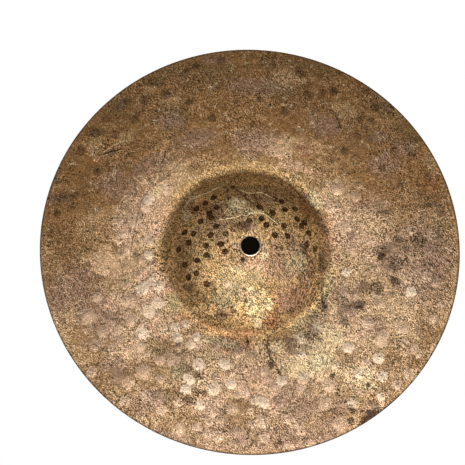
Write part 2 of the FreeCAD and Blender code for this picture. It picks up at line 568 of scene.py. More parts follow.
edge_move = add_node(tree, "ShaderNodeCombineXYZ", {"Z": edge_move})
rounded = add_node(tree, "GeometryNodeSetPosition", {"Geometry": closed, "Offset": edge_move})
smoothed = add_node(tree, "GeometryNodeSetShadeSmooth", {"Geometry": rounded})
realized = add_node(tree, "GeometryNodeRealizeInstances", {"Geometry": smoothed})
patina = bpy.data.materials.new("patinated_bronze")
finished = add_node(tree, "GeometryNodeSetMaterial", {"Geometry": realized, "Material": patina})
add_node(tree, "NodeGroupOutput", {0: finished})

maker = bpy.data.objects.new("cymbal_maker", bpy.data.meshes.new("cymbal_maker"))
bpy.context.scene.collection.objects.link(maker)
modifier = maker.modifiers.new("hammered_sheet", "NODES")
modifier.node_group = tree
for size_name, size_value in sheet_sizes.items():
    modifier[size_identifiers[size_name]] = size_value
depsgraph = bpy.context.evaluated_depsgraph_get()
bronze_mesh = bpy.data.meshes.new_from_object(maker.evaluated_get(depsgraph), depsgraph=depsgraph)
for helper in (maker, *mark_objects):
    bpy.data.objects.remove(helper)
bronze_mesh.name = "cymbal_bronze"
cymbal = bpy.data.objects.new("cymbal_bronze", bronze_mesh)
bpy.context.scene.collection.objects.link(cymbal)

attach(cymbal, "root")
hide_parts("cymbal")

# The finish
# Cast tin bronze that was hammered, left unlathed and has darkened for decades. The oxide is thin and
# warm brown, rubbed paler where the hammer faces flattened it, with stains that each have their own
# shape in the photograph: (x, y, half width, half height, turn in degrees), in pixels.

stains = {
    # The warm zone over the upper bow is partly warm brown oxide and partly painted shade, darker where the
    # bow turns away from the lamp
    "warm": (
        (250, 90, 205, 78, 0), (105, 165, 70, 60, -35), (400, 165, 60, 60, 35), (65, 215, 30, 45, 0),
    ),
    "worn": (
        (250, 405, 175, 60, 0), (150, 330, 80, 60, 20), (350, 345, 85, 70, -20), (140, 225, 22, 40, 10),
        (385, 280, 75, 75, 0), (350, 215, 30, 30, 0), (435, 265, 25, 60, 0),
    ),
    "pale": (
        (345, 325, 45, 40, 0), (255, 365, 85, 26, 0), (352, 245, 36, 45, 0), (145, 290, 32, 45, 0),
        (150, 215, 26, 40, 20), (400, 300, 24, 40, 0), (330, 370, 40, 20, 0), (194, 181, 9, 6, -30),
        (334, 193, 16, 13, 35), (168, 179, 26, 13, -35), (107, 265, 18, 13, 20), (136, 351, 18, 12, 0),
        (152, 290, 24, 30, 0), (202, 378, 34, 18, 20), (122, 332, 12, 8, 0), (338, 286, 8, 10, 0),
        (122, 268, 9, 12, 0), (320, 390, 10, 9, 0), (285, 378, 14, 12, 0), (290, 146, 30, 10, 6),
        (338, 212, 8, 10, 0), (122, 227, 11, 10, 0), (140, 287, 9, 8, 0), (356, 258, 9, 9, 0),
        (345, 303, 10, 6, 0), (392, 315, 13, 10, 0), (410, 331, 9, 8, 0), (278, 391, 22, 9, 0),
        (53, 318, 5, 14, -12), (340, 256, 8, 10, 0), (372, 324, 14, 12, 0), (342, 366, 12, 12, 0),
    ),
    "gilt": ((246, 250, 80, 80, 0),),
    # Brown patina, and painted shade as well: the brown stains over the upper bow and on the top of the
    # bell's wall darken where those faces turn from the lamp, and those along the bell's lower lip dull the
    # lamp's glint there
    "brown": (
        (196, 292, 8, 12, -35), (292, 306, 14, 9, -40), (276, 324, 11, 8, 0), (312, 318, 10, 8, -30),
        (277, 270, 13, 13, 0), (274, 289, 12, 9, 0), (185, 260, 9, 22, 0), (258, 195, 44, 9, 4),
        (312, 267, 5, 6, 0), (211, 289, 8, 7, 0), (222, 302, 9, 8, 0), (204, 181, 5, 4, -30),
        (105, 304, 5, 5, 0), (164, 170, 5, 4, -30), (137, 195, 5, 5, 0), (306, 203, 7, 12, -35),
        (321, 220, 6, 14, -20), (86, 182, 10, 8, 0), (98, 377, 13, 9, 40), (108, 392, 12, 7, 40),
        (130, 407, 14, 7, 30), (194, 167, 7, 5, -30), (392, 362, 9, 8, 0), (268, 332, 10, 6, 0),
        (226, 423, 20, 8, 0), (140, 362, 9, 7, 0), (290, 438, 14, 6, 0), (240, 440, 20, 6, 0),
        (320, 437, 8, 5, 0), (196, 437, 13, 7, 0), (264, 283, 8, 7, 0), (262, 206, 13, 5, 10),
        (326, 414, 14, 8, 0), (176, 392, 9, 6, 0), (240, 404, 14, 7, 0), (118, 170, 24, 12, -10),
        (70, 200, 22, 10, -10), (60, 235, 12, 14, 0), (75, 265, 12, 22, -35), (84, 290, 12, 9, 0),
        (116, 377, 11, 8, -20), (105, 365, 10, 6, 0), (55, 290, 8, 18, -10), (130, 110, 24, 12, -35),
        (200, 75, 38, 11, -8), (290, 68, 40, 11, 10), (170, 115, 20, 16, 0), (370, 95, 20, 9, 35),
        (360, 130, 26, 16, 30), (400, 140, 18, 12, 45), (430, 195, 14, 14, 0), (300, 100, 28, 14, 0),
        (438, 260, 12, 30, 0), (425, 330, 14, 8, 60), (415, 355, 12, 8, 40), (348, 354, 12, 7, 60),
        (166, 345, 14, 6, 45), (285, 305, 14, 9, -40), (238, 227, 16, 6, 0), (130, 140, 10, 6, -30),
        (242, 338, 22, 4, -3), (280, 333, 16, 4, -22),
    ),
    "russet": (
        (206, 211, 8, 9, -20), (306, 211, 6, 9, -30), (286, 300, 12, 9, 0), (296, 293, 11, 14, 20),
        (262, 262, 8, 6, 0), (208, 326, 20, 5, 12), (240, 334, 18, 5, -5), (180, 318, 12, 5, 15),
        (270, 320, 8, 8, 0), (245, 345, 8, 6, 0), (275, 250, 8, 10, 0), (228, 350, 10, 3, 0),
        (305, 150, 14, 8, 0), (430, 185, 10, 8, 0), (360, 200, 12, 8, 0), (95, 160, 9, 6, 0),
        (190, 205, 6, 6, 0),
    ),
    "lilac": (
        (262, 256, 34, 22, 0), (288, 264, 20, 18, 0), (240, 291, 13, 9, 0), (289, 286, 6, 6, 0),
        (219, 238, 8, 8, 0), (190, 211, 8, 8, 0), (292, 298, 14, 14, 0), (225, 215, 24, 14, -20),
        (250, 438, 110, 14, 0), (293, 260, 18, 26, -20), (292, 402, 30, 22, 10), (246, 225, 12, 6, 0),
        (75, 300, 30, 30, 0), (102, 328, 15, 14, 0), (420, 265, 30, 40, 0), (215, 410, 16, 12, 0),
        (152, 165, 24, 9, -28), (140, 198, 8, 7, 0), (158, 228, 6, 8, 0), (118, 187, 20, 14, 0),
        (195, 140, 22, 10, -10), (172, 120, 14, 9, 0), (256, 142, 22, 14, 0), (256, 86, 30, 9, 0),
        (325, 125, 16, 12, 20), (385, 165, 15, 12, 0), (378, 137, 10, 5, 0), (404, 150, 11, 8, 0),
        (372, 206, 18, 6, 0), (346, 238, 20, 9, 0), (341, 292, 10, 6, 0), (388, 262, 9, 9, 0),
        (380, 246, 10, 6, 0), (328, 425, 16, 8, 0), (296, 436, 18, 8, 0), (236, 434, 16, 10, 0),
        (150, 400, 18, 12, 0), (108, 312, 24, 16, 0), (82, 278, 12, 12, 0), (132, 215, 16, 24, 10),
        (115, 365, 14, 10, 0), (175, 358, 16, 9, 0), (250, 372, 22, 8, 10), (232, 345, 14, 5, 15),
        (165, 285, 8, 8, 0), (245, 293, 12, 8, 0), (290, 262, 9, 12, 0), (352, 312, 5, 7, 0),
        (375, 325, 12, 9, 0), (340, 405, 10, 10, 0), (198, 232, 5, 5, 0), (225, 312, 7, 5, 0),
        (92, 345, 12, 8, 0), (215, 60, 14, 4, 0),
    ),
    "ochre": (
        (107, 264, 16, 12, 20), (86, 226, 11, 12, 0), (104, 216, 20, 8, 0), (136, 352, 15, 10, 0),
        (84, 356, 9, 9, 45), (112, 391, 12, 5, 30), (60, 330, 7, 16, -25), (186, 434, 16, 6, 20),
        (216, 440, 12, 7, 0), (95, 146, 10, 8, -30), (126, 136, 14, 6, -30), (68, 316, 9, 8, 0),
        (345, 110, 12, 8, 25), (280, 150, 13, 6, 0), (265, 166, 30, 5, 3), (432, 165, 5, 14, -20),
        (160, 250, 7, 22, 0), (168, 308, 9, 11, -30), (86, 257, 8, 7, 0), (334, 338, 16, 14, 0),
        (200, 272, 6, 16, -15), (197, 240, 8, 7, 0), (345, 262, 8, 14, 0), (190, 178, 14, 6, -35),
        (172, 100, 10, 8, 0), (265, 238, 9, 12, 0), (240, 218, 20, 4, -10), (285, 78, 12, 9, 0),
        (218, 262, 8, 10, 0),
    ),
    "cream": (
        (260, 298, 6, 7, 0), (264, 307, 7, 4, 0), (322, 340, 26, 14, -15), (305, 366, 20, 11, -10),
        (360, 375, 14, 9, 0), (276, 347, 7, 6, 0), (298, 337, 6, 3, 20), (160, 190, 10, 4, -35),
        (196, 310, 5, 3, 0), (365, 385, 10, 6, 0), (313, 320, 6, 4, 0), (321, 363, 15, 11, 0),
    ),
    "chalk": (
        (252, 307, 6, 8, 0), (228, 285, 5, 3.5, 0), (238, 271, 9, 3, 25), (258, 322, 4, 5, 0),
        (320, 362, 10, 8, 0), (318, 329, 5, 4, 0), (236, 202, 9, 4, 0), (252, 212, 11, 2.5, 0),
        (233, 208, 6, 4, 0), (186, 218, 3, 4, -20), (315, 201, 5, 9, -35), (192, 198, 6, 4, -30),
        (264, 256, 5, 4, 0), (268, 305, 5, 6, 0), (231, 210, 3, 5, 0), (250, 288, 4, 4, 0),
    ),
    "blush": (
        (150, 212, 20, 26, 15), (107, 266, 16, 11, 20), (136, 352, 14, 10, 0), (152, 290, 18, 24, 0),
        (148, 208, 14, 18, 15), (160, 190, 14, 8, -35), (244, 381, 30, 12, 0), (150, 285, 16, 10, 0),
        (255, 265, 14, 7, 0), (340, 222, 14, 16, 0), (362, 245, 22, 10, 0), (335, 250, 8, 16, 0),
        (294, 166, 16, 6, 10), (350, 330, 20, 14, 0), (196, 343, 12, 8, 20), (118, 303, 18, 10, 0),
        (210, 402, 18, 14, 0), (265, 405, 16, 14, 0), (320, 200, 20, 5, 20), (160, 330, 20, 10, 0),
        (280, 152, 12, 6, 0), (124, 236, 11, 14, 0), (140, 288, 9, 8, 0),
    ),
    "verdigris": (
        (240, 279, 20, 12, 0), (258, 302, 11, 15, 0), (226, 296, 14, 12, 0), (315, 199, 6, 11, -35),
        (327, 288, 6, 22, 12), (303, 321, 16, 5, -38), (240, 206, 8, 5, 10), (218, 342, 22, 4, 12),
        (186, 216, 5, 6, -20), (297, 262, 10, 11, 0), (174, 303, 7, 9, -25), (236, 282, 10, 7, 0),
        (152, 308, 8, 6, 0), (165, 328, 7, 5, 0), (260, 300, 5, 4, 0), (182, 372, 9, 7, 0),
        (258, 317, 9, 4, 0), (222, 276, 7, 7, 0),
    ),
    "olive": (
        (118, 106, 13, 8, -40), (212, 74, 22, 8, 0), (386, 110, 14, 8, 35), (178, 114, 12, 7, 0),
        (418, 240, 8, 7, 0), (312, 66, 26, 6, 15), (96, 134, 10, 6, -40), (256, 436, 12, 6, 0),
        (170, 400, 6, 10, 0), (408, 130, 18, 8, 50), (160, 75, 20, 6, -25), (275, 92, 18, 8, 0),
        (222, 412, 12, 5, 0), (205, 355, 12, 6, 20), (258, 410, 8, 12, -30), (150, 345, 14, 8, 20),
        (182, 358, 6, 14, 0), (250, 430, 10, 8, 0), (438, 225, 6, 20, 0),
    ),
    "smooth": (
        (184, 256, 16, 36, 0), (136, 352, 18, 12, 0), (107, 262, 20, 12, 20), (116, 377, 14, 10, 0),
    ),
    "smoke": (
        (364, 287, 7.5, 6.5, 0), (377, 288, 7, 6.5, 30), (398, 240, 6.5, 4.5, 0), (384, 254, 8, 7, 0),
        (347, 304, 9, 5, 0), (359, 305, 7, 4, -25), (345, 321, 6, 5.5, 0), (312, 334, 10, 6, -20),
        (291, 350, 6, 5, 0), (310, 341, 5, 4, 0), (286, 340, 4, 4, 0), (306, 347, 5, 4, 0),
        (320, 340, 4, 3, 0), (310, 327, 3.5, 3, 0), (188, 400, 5, 4, 0), (396, 264, 8, 8, 0),
        (371, 414, 12, 7, -32), (372, 403, 4, 3, 0), (351, 409, 3, 4, 0), (386, 108, 8, 5, 30),
        (120, 106, 9, 5, -40), (95, 133, 5, 5, 0), (60, 198, 14, 5, -5), (110, 153, 9, 3, -18),
        (166, 95, 6, 4, 0), (430, 205, 12, 3.5, 0), (385, 212, 9, 2.5, 0), (222, 316, 6, 5, 0),
        (322, 262, 4, 12, 0), (418, 241, 8, 7, 0), (187, 287, 5, 4, 0), (394, 281, 8, 5, 35),
        (294, 343, 6, 6, 0), (312, 319, 7, 4, 0), (341, 310, 4, 7, 10), (324, 303, 4, 8, 0),
        (271, 358, 2, 12, -15),
    ),
    "soot": (
        (394, 281, 6, 3.5, 35), (381, 256, 3, 4.5, 40), (377, 250, 3, 2, 0), (360, 307, 4, 2, -25),
        (279, 373, 4, 2, 40), (247, 342, 3, 2, 0), (333, 376, 3, 3, 0), (341, 383, 3, 2, 0),
        (371, 414, 9, 4, -32), (364, 420, 5, 3, -35), (349.5, 420.5, 3.5, 3.5, 0), (271, 366, 2.5, 4, 0),
        (368, 385, 3, 2.5, 0), (365, 411, 5, 3, 0), (353, 410, 3, 4, 0), (280, 443, 3, 2.5, 0),
        (305, 252, 2, 7, -25), (440, 384, 6, 3, -50), (246, 301, 2, 2.5, 0), (242.5, 259.5, 2.2, 2.2, 0),
    ),
    "speckle": (
        (412, 232, 14, 20, 15), (400, 262, 14, 12, 0), (372, 252, 14, 8, 0), (345, 395, 18, 8, 20),
        (372, 393, 20, 8, -10), (392, 318, 6, 5, 0), (426, 326, 6, 6, 0), (366, 373, 6, 5, 0),
        (352, 362, 7, 5, 0), (365, 385, 20, 14, 0), (308, 335, 14, 10, 0), (270, 350, 10, 16, 0),
        (232, 246, 8, 10, 0), (215, 205, 16, 14, 0), (190, 400, 12, 10, 0), (200, 376, 9, 9, 0),
        (158, 262, 8, 22, 0), (320, 300, 9, 16, 0), (242, 262, 6, 4, 0), (370, 268, 14, 5, 0),
        (345, 265, 14, 10, 0), (205, 320, 18, 6, 15), (398, 342, 12, 8, 0), (66, 170, 14, 10, 0),
    ),
}

# Old scratches and creases in the bronze, as runs of points in the photograph, in pixels
lines = {
    "creases": (
        ((186, 206), (190, 200), (200, 196), (207, 193.5), (218, 188)),
        ((243, 191.5), (248, 193.5), (256, 193), (263, 193.5), (272, 198)),
        ((222, 220), (231, 218.5), (238, 217), (242, 214.5), (246, 217), (251, 213.5), (262, 213.5)),
        ((262, 213.5), (268, 216.5), (275, 222), (280, 227), (284, 235)),
        ((226, 212), (231, 205), (236, 199), (240, 203)), ((228, 208), (236, 207), (243, 209)),
        ((233, 198), (232, 207), (235, 214)), ((256, 262), (262, 266), (259, 272)),
        ((248, 271), (256, 266), (264, 259)),
    ),
    "folds": (
        ((238, 191), (247, 199), (256, 206), (266, 212), (275, 221), (281, 229)),
        ((103, 155), (109, 153), (120, 150)), ((188, 296), (196, 305), (204, 313), (214, 319)),
        ((333, 112), (337, 117), (340, 126)), ((268, 338), (267, 346), (269, 356), (276, 366)),
        ((304, 248), (309, 256), (313, 264)), ((323, 286), (320, 294), (324, 306)),
        ((277, 374), (283, 368), (286, 371)), ((247, 338), (249, 344), (246, 349)),
    ),
    "bright_lines": (
        ((316, 248), (330, 262), (345, 275), (358, 286)), ((324, 351), (333, 344), (341, 334)),
        ((222, 227), (228, 236), (234, 244)), ((98, 160), (104, 152), (112, 146), (121, 142)),
        ((232, 270), (239, 274), (245, 279)), ((253, 279), (262, 271), (269, 262)),
        ((190, 321), (197, 325), (205, 327)),
    ),
    "dark_lines": (
        ((240, 372), (246, 380), (250, 392), (254, 402)), ((262, 410), (266, 424), (270, 436)),
        ((152, 366), (166, 368), (180, 372), (190, 371)), ((175, 388), (182, 384), (190, 386)),
        ((95, 345), (108, 352), (120, 350)), ((150, 345), (158, 350), (166, 353)),
        ((277, 177), (287, 183), (296, 191), (304, 200)), ((286, 190), (294, 197)),
        ((168, 176), (150, 188), (141, 202), (136, 222), (131, 250)),
        ((160, 178), (176, 167), (184, 158)), ((330, 111), (336, 117), (340, 126)),
        ((272, 245), (282, 248)), ((120, 262), (124, 275), (119, 288), (116, 298)),
        ((279, 86), (287, 89), (292, 97)), ((75, 317), (85, 313), (97, 306)),
        ((124, 280), (114, 280), (100, 277), (88, 270)), ((172, 405), (168, 420), (160, 434)),
        ((260, 272), (268, 262)), ((286, 345), (294, 336), (300, 331)),
    ),
}


def stain_field(spots, pixels):
    """How deep each pixel lies in a stain: one in its middle, half at its edge, nothing well outside."""
    field = np.zeros(len(pixels))
    for x, y, half_width, half_height, turn in spots:
        cosine, sine = math.cos(math.radians(turn)), math.sin(math.radians(turn))
        across = (pixels - (x, y)) @ np.array(((cosine, -sine), (sine, cosine)))
        reach = np.hypot(across[:, 0] / half_width, across[:, 1] / half_height)
        field = np.maximum(field, np.clip(1.5 - reach, 0, 1))
    return field


def line_fields(runs, pixels):
    """How far each pixel lies beside the nearest line, to its left or right, and away from it."""
    far_off = 99.0
    beside = np.full(len(pixels), far_off)
    away = np.full(len(pixels), far_off)
    for run in runs:
        for start, end in zip(run, run[1:]):
            step = np.array(end) - start
            length = np.hypot(*step)
            ahead = step / length
            offset = pixels - start
            along = np.clip(offset @ ahead, 0, length)
            distance = np.hypot(*(offset - along[:, None] * ahead).T)
            nearer = distance < away
            away[nearer] = distance[nearer]
            beside[nearer] = (offset @ (-ahead[1], ahead[0]))[nearer]
    return beside, away


places = np.empty(len(bronze_mesh.vertices) * 3)
bronze_mesh.vertices.foreach_get("co", places)
places = places.reshape(-1, 3)
top_shares = np.empty(len(places))
bronze_mesh.attributes["top_side"].data.foreach_get("value", top_shares)

# The top face has aged in the same way as the underside, so it carries the same stains, turned round
top_turn = math.radians(140)
top_cosine, top_sine = math.cos(top_turn), math.sin(top_turn)
turned_places = places @ np.array(
    ((top_cosine, -top_sine, 0), (top_sine, top_cosine, 0), (0, 0, 1))
)
stained_places = np.where(top_shares[:, None] > 0.5, turned_places, places)
stained_pixels = pixels_of_places(stained_places)

# Stains are kept as shares, and distances to lines in millimetres
fields = {}
for stain_name, spots in stains.items():
    fields[stain_name] = stain_field(spots, stained_pixels)
for line_name, runs in lines.items():
    beside, away = line_fields(runs, stained_pixels)
    fields[line_name] = beside * pixel_size / mm
    fields[line_name + "_away"] = away * pixel_size / mm

# A ring round the bell's lip is painted lighter, a painted highlight where the lip catches the lamp, the
# stand has kept the bore's edge bare, and the last of the rim is painted darker
lip_offset = 2.2 * mm
lip_half_width = 2.6 * mm
bare_width = 0.7 * mm
bare_fade = 0.4 * mm
dark_rim_width = 1.6 * mm
axis_distances = np.hypot(places[:, 0], places[:, 1])
bell_distances = np.hypot(places[:, 0] - bell_shift, places[:, 1])
off_lip = np.abs(bell_distances - bell_radius - lip_offset)
fields["lip"] = np.clip(1.5 - off_lip / lip_half_width, 0, 1)
fields["bare"] = np.clip((bore_radius + bare_width - axis_distances) / bare_fade, 0, 1)
fields["rim_dirt"] = np.clip((axis_distances - rim_radius + dark_rim_width) / dark_rim_width, 0, 1)
for field_name, field in fields.items():
    bronze_mesh.attributes.new(field_name, "FLOAT", "POINT").data.foreach_set("value", field)


def linear(hex_colour):
    """An sRGB hex colour as the linear colour that a shader takes."""
    parts = [int(hex_colour[place:place + 2], 16) / 255 for place in (1, 3, 5)]
    bright = [part / 12.92 if part < 0.04045 else ((part + 0.055) / 1.055) ** 2.4 for part in parts]
    return (*bright, 1)


def laid_over(tree, colour, layers):
    """Nodes that lay one colour after another over the first, each where its own mask is."""
    for mask, layer_colour in layers:
        laid = add_node(
            tree, "ShaderNodeMix", {0: mask, 6: colour, 7: linear(layer_colour)}, data_type="RGBA"
        )
        colour = laid.outputs[2]
    return colour


def drawn_out_noise(tree, place, turn, length, width, detail):
    """Nodes for a noise whose grains are drawn out along one direction of the sheet."""
    turned = add_node(
        tree,
        "ShaderNodeVectorRotate",
        {"Vector": place, "Angle": math.radians(turn)},
        rotation_type="Z_AXIS",
    )
    grain = (1 / length, 1 / width, 1 / length)
    drawn_out = add_node(tree, "ShaderNodeVectorMath", {0: turned, 1: grain}, operation="MULTIPLY")
    noise = add_node(tree, "ShaderNodeTexNoise", {"Vector": drawn_out, "Scale": 1.0, "Detail": detail})
    return noise.outputs["Fac"]


patina.use_nodes = True
finish = patina.node_tree
shader = finish.nodes["Principled BSDF"]
place = add_node(finish, "ShaderNodeTexCoord").outputs["Object"]

# Every number that the mesh carries for the finish, by name
kept = {}
for attribute in bronze_mesh.attributes:
    if attribute.data_type == "FLOAT":
        number = add_node(finish, "ShaderNodeAttribute", attribute_name=attribute.name)
        kept[attribute.name] = number.outputs["Fac"]

# Clouds are a thumb wide, blots are as large as hammer marks, and flecks and grain are the pitted skin.
# The real pits are about 0.2 mm wide, too fine to show, so the grain is drawn at 0.55 mm, and the pits
# further down at 0.6 mm.
noises = {}
tints = {}
for noise_name, grain_size, detail in (
    ("cloud", 24 * mm, 3),
    ("blot", 7 * mm, 4),
    ("fleck", 2.2 * mm, 2),
    ("grain", 0.55 * mm, 1),
):
    noise = add_node(
        finish,
        "ShaderNodeTexNoise",
        {"Vector": place, "Scale": 1 / grain_size, "Detail": detail, "Roughness": 0.6},
    )
    noises[noise_name] = noise.outputs["Fac"]
    tints[noise_name] = add_node(finish, "ShaderNodeSeparateXYZ", {0: noise.outputs["Color"]})

# The colour is laid on in layers, from the darker of two browns up
darker_brown = linear("#8F6C46")
ground = add_node(finish, "ShaderNodeMapRange", {0: noises["cloud"], 1: 0.36, 2: 0.64})
layers = [(ground, "#A9865C")]

# Thin films of oxide shift the colour from blot to blot, towards olive or towards pink
for channel, film_colour in (("X", "#86723E"), ("Y", "#A47862"), ("Z", "#C8A470")):
    film = add_node(
        finish,
        "ShaderNodeMapRange",
        {0: tints["blot"].outputs[channel], 1: 0.5, 2: 0.72, 3: 0.0, 4: 0.25},
        interpolation_type="SMOOTHSTEP",
    )
    layers.append((film, film_colour))

ragged = add_node(finish, "ShaderNodeMath", {0: noises["blot"], 1: noises["fleck"]}, operation="ADD")
ragged = add_node(finish, "ShaderNodeMath", {0: ragged, 1: 1.0}, operation="SUBTRACT")

# Each stain covers the ones before it, and its edge is broken up by the skin's own grain. The first four
# are the large zones: warm brown oxide over the upper bow, darker there partly as painted shade where the
# bow turns away from the lamp, metal that is worn, metal that is worn pale, and the golden bell.
masks = {}
for stain_name, stain_colour, raggedness, softness, cover in (
    ("warm", "#8E683F", 0.8, 0.5, 0.9),
    ("worn", "#A7865F", 1.2, 0.45, 0.8),
    ("pale", "#CAA981", 1.2, 0.5, 0.7),
    ("gilt", "#C9A86F", 0.5, 0.35, 0.9),
    # Painted highlight: the ring round the bell's lip is laid on lighter, where the lip catches the lamp
    ("lip", "#CDAA72", 1.4, 0.4, 0.7),
    # Brown patina, partly painted shade
    ("brown", "#7E5E3C", 1.3, 0.38, 0.6),
    ("russet", "#98613A", 1.3, 0.36, 0.5),
    ("lilac", "#957662", 1.2, 0.38, 0.58),
    ("ochre", "#BE9E70", 1.2, 0.4, 0.4),
    ("blush", "#D2AA88", 1.4, 0.36, 0.6),
    ("cream", "#F5D5A2", 1.4, 0.32, 0.9),
    ("verdigris", "#AB9F7A", 1.6, 0.34, 0.6),
    ("chalk", "#EAD5A6", 1.1, 0.3, 0.75),
    ("olive", "#75633F", 1.4, 0.4, 0.35),
):
    frayed = add_node(
        finish, "ShaderNodeMath", {0: ragged, 1: raggedness, 2: kept[stain_name]}, operation="MULTIPLY_ADD"
    )
    masks[stain_name] = add_node(
        finish,
        "ShaderNodeMapRange",
        {0: frayed, 1: 0.5 - softness, 2: 0.5 + softness, 3: 0.0, 4: cover},
        interpolation_type="SMOOTHSTEP",
    )
    layers.append((masks[stain_name], stain_colour))

# Hammer marks are pale where the metal is worn and dark where it is brown, partly their own colour and
# partly a painted sheen in the lit lower half and painted shade in the upper half. Punch marks are dark.
# They were struck on the underside, so they show less on top. The pale ones have a thin painted shadow
# round them.
struck = add_node(finish, "ShaderNodeMapRange", {0: kept["top_side"], 3: 1.0, 4: 0.4})
for mark_name, zone, mark_colour, raggedness, outline, softness, weakest, strongest in (
    ("scattered_marks", "worn", "#D4B492", 0.7, 0.95, 0.35, 0.0, 0.4),
    ("scattered_marks", "warm", "#6E4E2E", 0.7, 0.7, 0.35, -0.2, 0.4),
    ("violet_marks", None, "#A88A74", 1.0, 0.95, 0.25, 0.4, 0.75),
    ("pale_marks", None, "#D8B89B", 1.0, 0.95, 0.22, 0.35, 0.7),
    ("bright_marks", None, "#EDD3B6", 0.95, 0.95, 0.18, 0.6, 0.95),
    ("dark_marks", None, "#5C4128", 0.6, 0.85, 0.2, 0.45, 0.75),
    ("punch_marks", None, "#41230C", 0.4, 0.95, 0.13, 0.85, 0.97),
):
    chance = kept[mark_name + "_chance"]
    strength = add_node(finish, "ShaderNodeMapRange", {0: chance, 3: weakest, 4: strongest})
    strength = add_node(finish, "ShaderNodeMath", {0: strength, 1: struck}, operation="MULTIPLY")
    if zone:
        strength = add_node(finish, "ShaderNodeMath", {0: strength, 1: masks[zone]}, operation="MULTIPLY")
    frayed = add_node(
        finish, "ShaderNodeMath", {0: ragged, 1: raggedness, 2: kept[mark_name]}, operation="MULTIPLY_ADD"
    )
    masks[mark_name] = add_node(
        finish,
        "ShaderNodeMapRange",
        {0: frayed, 1: outline - softness, 2: outline + softness, 3: strength, 4: 0.0},
        interpolation_type="SMOOTHSTEP",
    )
    if mark_name in ("violet_marks", "pale_marks", "bright_marks"):
        off_shadow = add_node(finish, "ShaderNodeMath", {0: frayed, 1: 1.2}, operation="SUBTRACT")
        off_shadow = add_node(finish, "ShaderNodeMath", {0: off_shadow}, operation="ABSOLUTE")
        shadow = add_node(finish, "ShaderNodeMapRange", {0: off_shadow, 1: 0.0, 2: 0.22, 3: 0.25, 4: 0.0})
        layers.append((shadow, "#6E5238"))
    layers.append((masks[mark_name], mark_colour))

# The punch marks' middles are rubbed lighter than their edges
middle = add_node(finish, "ShaderNodeMapRange", {0: kept["punch_marks"], 1: 0.25, 2: 0.65, 3: 0.5, 4: 0.0})
middle = add_node(finish, "ShaderNodeMath", {0: middle, 1: struck}, operation="MULTIPLY")
layers.append((middle, "#7E522C"))

# Old smoke and soot lie over the hammer marks
soot_grain = add_node(finish, "ShaderNodeMath", {0: noises["grain"], 1: 0.5}, operation="SUBTRACT")
for stain_name, stain_colour, raggedness, cover in (
    ("smoke", "#6C5440", 0.9, 0.7),
    ("soot", "#4A3523", 1.8, 0.75),
):
    frayed = add_node(
        finish, "ShaderNodeMath", {0: ragged, 1: raggedness, 2: kept[stain_name]}, operation="MULTIPLY_ADD"
    )
    frayed = add_node(
        finish, "ShaderNodeMath", {0: soot_grain, 1: 1.2, 2: frayed}, operation="MULTIPLY_ADD"
    )
    masks[stain_name] = add_node(
        finish,
        "ShaderNodeMapRange",
        {0: frayed, 1: 0.44, 2: 0.62, 3: 0.0, 4: cover},
        interpolation_type="SMOOTHSTEP",
    )
    layers.append((masks[stain_name], stain_colour))
colour = laid_over(finish, darker_brown, layers)

# Fine rubbing marks run across the sheet in three directions. They add to the lightness, which is
# counted in doublings.
lightness = add_node(finish, "ShaderNodeMapRange", {0: noises["fleck"], 1: 0.0, 2: 1.0, 3: -0.3, 4: 0.3})
for turn in (8, 55, -42):
    rubbing = drawn_out_noise(finish, place, turn, length=5 * mm, width=0.6 * mm, detail=1)
    rubbing = add_node(finish, "ShaderNodeMapRange", {0: rubbing, 3: -0.5, 4: 0.5})
    lightness = add_node(finish, "ShaderNodeMath", {0: lightness, 1: rubbing}, operation="ADD")

# The pitted and crazed skin is roughest where the oxide is worn through, and smooth on the hammer marks
skin_depth = add_node(
    finish, "ShaderNodeMath", {0: masks["gilt"], 1: 0.9, 2: masks["cream"]}, operation="MULTIPLY_ADD"
)
skin_depth = add_node(
    finish, "ShaderNodeMath", {0: masks["worn"], 1: 0.5, 2: skin_depth}, operation="MULTIPLY_ADD"
)
skin_depth = add_node(finish, "ShaderNodeMapRange", {0: skin_depth, 1: 0.0, 2: 0.9, 3: 0.44, 4: 1.45})
calm = add_node(finish, "ShaderNodeMapRange", {0: kept["smooth"], 1: 0.1, 2: 1.0, 3: 1.0, 4: 0.5})
patchy = add_node(
    finish, "ShaderNodeMapRange", {0: tints["cloud"].outputs["Z"], 1: 0.35, 2: 0.6, 3: 0.45, 4: 1.15}
)
flattened = masks["pale_marks"]
for mark_name in ("bright_marks", "violet_marks"):
    flattened = add_node(
        finish, "ShaderNodeMath", {0: flattened, 1: masks[mark_name]}, operation="MAXIMUM"
    )
flattened = add_node(finish, "ShaderNodeMapRange", {0: flattened, 1: 0.0, 2: 0.7, 3: 1.0, 4: 0.3})
for share in (calm, patchy, flattened):
    skin_depth = add_node(finish, "ShaderNodeMath", {0: skin_depth, 1: share}, operation="MULTIPLY")

# Each pit is counted against the place beside it, which leaves the finest of the grain alone and paints one
# side of each pit lighter and the other darker: a painted highlight and painted shade on the grain
pit_size = 0.6 * mm
pit_step = (0.5 * mm, -0.4 * mm, 0)
pit_noises = []
for step in ((0, 0, 0), pit_step):
    beside = add_node(finish, "ShaderNodeVectorMath", {0: place, 1: step}, operation="ADD")
    pit_noise = add_node(
        finish, "ShaderNodeTexNoise", {"Vector": beside, "Scale": 1 / pit_size, "Detail": 0}
    )
    pit_noises.append(pit_noise.outputs["Fac"])
pit_light_and_shade = add_node(finish, "ShaderNodeMath", {0: pit_noises[0], 1: pit_noises[1]}, operation="SUBTRACT")
crazing_and_pit_shade = add_node(finish, "ShaderNodeMath", {0: pit_light_and_shade, 1: 5.4}, operation="MULTIPLY")

